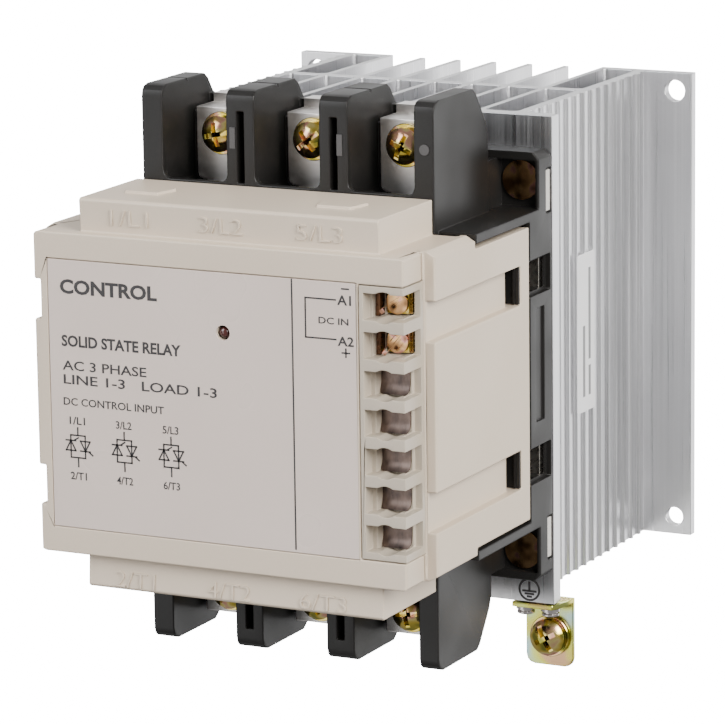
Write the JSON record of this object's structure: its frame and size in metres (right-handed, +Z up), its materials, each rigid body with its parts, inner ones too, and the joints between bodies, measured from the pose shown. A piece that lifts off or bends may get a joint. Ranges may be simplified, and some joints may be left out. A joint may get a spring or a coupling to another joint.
{
  "type": "solid state relay",
  "caption": "Boxy beige and black relay with screw terminals between upright barriers, bolted to a finned aluminium heatsink.",
  "frame": {"origin": "middle of the heatsink's rear mounting plane", "axes": "+Z up as mounted on a panel, front cover faces -Y, +X to the viewer's right"},
  "size_m": [0.12, 0.167, 0.1594],
  "materials": {
    "anodised_aluminium": "satin anodised extrusion",
    "white_label": "matt vinyl",
    "nickel_plate": "dull nickel",
    "thermal_pad": "matt",
    "black_polyamide": "fine moulded texture",
    "beige_polycarbonate": "fine moulded texture",
    "printed_film": "semi gloss film",
    "beige_terminal_moulding": "fine moulded texture",
    "brass": "plain",
    "yellow_chromate": "iridescent yellow chromate",
    "tinned_copper": "bright tin",
    "zinc_steel": "clear zinc",
    "moulded_epoxy": "matt",
    "capacitor_case": "gloss",
    "ceramic_case": "matt",
    "board_laminate": "solder mask",
    "red_lens": "clear dark red"
  },
  "bodies": {
    "root": {"heatsink": "anodised_aluminium", "heatsink_sticker": "white_label", "base_plate": "nickel_plate", "thermal_pad": "thermal_pad", "base_housing": "black_polyamide", "front_cover": "beige_polycarbonate", "nameplate": "printed_film", "control_terminal_block": "beige_terminal_moulding", "control_plate_a1": "brass", "control_plate_a2": "brass", "terminal_line_1": "tinned_copper", "terminal_line_2": "tinned_copper", "terminal_line_3": "tinned_copper", "terminal_load_1": "tinned_copper", "terminal_load_2": "tinned_copper", "terminal_load_3": "tinned_copper", "earth_bracket": "yellow_chromate", "earth_rivet_1": "zinc_steel", "earth_rivet_2": "zinc_steel", "power_module_1": "moulded_epoxy", "power_module_2": "moulded_epoxy", "power_module_3": "moulded_epoxy", "optocoupler_1": "moulded_epoxy", "optocoupler_2": "moulded_epoxy", "optocoupler_3": "moulded_epoxy", "snubber_capacitor_1": "capacitor_case", "snubber_capacitor_2": "capacitor_case", "snubber_capacitor_3": "capacitor_case", "input_resistor": "ceramic_case", "circuit_board": "board_laminate", "board_pillar_1": "zinc_steel", "board_pillar_2": "zinc_steel", "board_pillar_3": "zinc_steel", "board_pillar_4": "zinc_steel", "status_led": "red_lens", "base_screw_upper_left": "yellow_chromate", "base_screw_upper_right": "yellow_chromate", "base_screw_lower_left": "yellow_chromate", "base_screw_lower_right": "yellow_chromate"},
    "line_1_washer": {"washer_line_1": "yellow_chromate"},
    "line_1_screw": {"screw_line_1": "yellow_chromate"},
    "line_2_washer": {"washer_line_2": "yellow_chromate"},
    "line_2_screw": {"screw_line_2": "yellow_chromate"},
    "line_3_washer": {"washer_line_3": "yellow_chromate"},
    "line_3_screw": {"screw_line_3": "yellow_chromate"},
    "load_1_washer": {"washer_load_1": "yellow_chromate"},
    "load_1_screw": {"screw_load_1": "yellow_chromate"},
    "load_2_washer": {"washer_load_2": "yellow_chromate"},
    "load_2_screw": {"screw_load_2": "yellow_chromate"},
    "load_3_washer": {"washer_load_3": "yellow_chromate"},
    "load_3_screw": {"screw_load_3": "yellow_chromate"},
    "earth_washer": {"earth_washer": "yellow_chromate"},
    "earth_screw": {"earth_screw": "yellow_chromate"},
    "control_a1_washer": {"control_clamp_a1": "yellow_chromate"},
    "control_a1_screw": {"control_screw_a1": "yellow_chromate"},
    "control_a2_washer": {"control_clamp_a2": "yellow_chromate"},
    "control_a2_screw": {"control_screw_a2": "yellow_chromate"}
  },
  "joints": [
    {"name": "line_1_travel", "type": "slide", "parent": "root", "child": "line_1_washer", "axis": [0, -1, 0], "range_m": [0, 0.004]},
    {"name": "line_1_turn", "type": "hinge", "parent": "line_1_washer", "child": "line_1_screw", "pos_m": [-0.02325, -0.1196, 0.061], "axis": [0, -1, 0], "range_deg": [0, 1800]},
    {"name": "line_2_travel", "type": "slide", "parent": "root", "child": "line_2_washer", "axis": [0, -1, 0], "range_m": [0, 0.004]},
    {"name": "line_2_turn", "type": "hinge", "parent": "line_2_washer", "child": "line_2_screw", "pos_m": [0.00325, -0.1196, 0.061], "axis": [0, -1, 0], "range_deg": [0, 1800]},
    {"name": "line_3_travel", "type": "slide", "parent": "root", "child": "line_3_washer", "axis": [0, -1, 0], "range_m": [0, 0.004]},
    {"name": "line_3_turn", "type": "hinge", "parent": "line_3_washer", "child": "line_3_screw", "pos_m": [0.02975, -0.1196, 0.061], "axis": [0, -1, 0], "range_deg": [0, 1800]},
    {"name": "load_1_travel", "type": "slide", "parent": "root", "child": "load_1_washer", "axis": [0, -1, 0], "range_m": [0, 0.004]},
    {"name": "load_1_turn", "type": "hinge", "parent": "load_1_washer", "child": "load_1_screw", "pos_m": [-0.02325, -0.1196, -0.061], "axis": [0, -1, 0], "range_deg": [0, 1800]},
    {"name": "load_2_travel", "type": "slide", "parent": "root", "child": "load_2_washer", "axis": [0, -1, 0], "range_m": [0, 0.004]},
    {"name": "load_2_turn", "type": "hinge", "parent": "load_2_washer", "child": "load_2_screw", "pos_m": [0.00325, -0.1196, -0.061], "axis": [0, -1, 0], "range_deg": [0, 1800]},
    {"name": "load_3_travel", "type": "slide", "parent": "root", "child": "load_3_washer", "axis": [0, -1, 0], "range_m": [0, 0.004]},
    {"name": "load_3_turn", "type": "hinge", "parent": "load_3_washer", "child": "load_3_screw", "pos_m": [0.02975, -0.1196, -0.061], "axis": [0, -1, 0], "range_deg": [0, 1800]},
    {"name": "earth_travel", "type": "slide", "parent": "root", "child": "earth_washer", "axis": [0, -1, 0], "range_m": [0, 0.004]},
    {"name": "earth_turn", "type": "hinge", "parent": "earth_washer", "child": "earth_screw", "pos_m": [0.0502, -0.0781, -0.076], "axis": [0, -1, 0], "range_deg": [0, 1800]},
    {"name": "control_a1_travel", "type": "slide", "parent": "root", "child": "control_a1_washer", "axis": [0, -1, 0], "range_m": [0, 0.0024]},
    {"name": "control_a1_turn", "type": "hinge", "parent": "control_a1_washer", "child": "control_a1_screw", "pos_m": [0.0465, -0.159, 0.0292], "axis": [0, -1, 0], "range_deg": [0, 1440]},
    {"name": "control_a2_travel", "type": "slide", "parent": "root", "child": "control_a2_washer", "axis": [0, -1, 0], "range_m": [0, 0.0024]},
    {"name": "control_a2_turn", "type": "hinge", "parent": "control_a2_washer", "child": "control_a2_screw", "pos_m": [0.0465, -0.159, 0.01948], "axis": [0, -1, 0], "range_deg": [0, 1440]}
  ],
  "couplings": [
    {"joint": "line_1_turn", "follows": "line_1_travel", "rad_per_m": 7853.9},
    {"joint": "line_2_turn", "follows": "line_2_travel", "rad_per_m": 7853.9},
    {"joint": "line_3_turn", "follows": "line_3_travel", "rad_per_m": 7853.9},
    {"joint": "load_1_turn", "follows": "load_1_travel", "rad_per_m": 7853.9},
    {"joint": "load_2_turn", "follows": "load_2_travel", "rad_per_m": 7853.9},
    {"joint": "load_3_turn", "follows": "load_3_travel", "rad_per_m": 7853.9},
    {"joint": "earth_turn", "follows": "earth_travel", "rad_per_m": 7853.9},
    {"joint": "control_a1_turn", "follows": "control_a1_travel", "rad_per_m": 10472},
    {"joint": "control_a2_turn", "follows": "control_a2_travel", "rad_per_m": 10472}
  ]
}
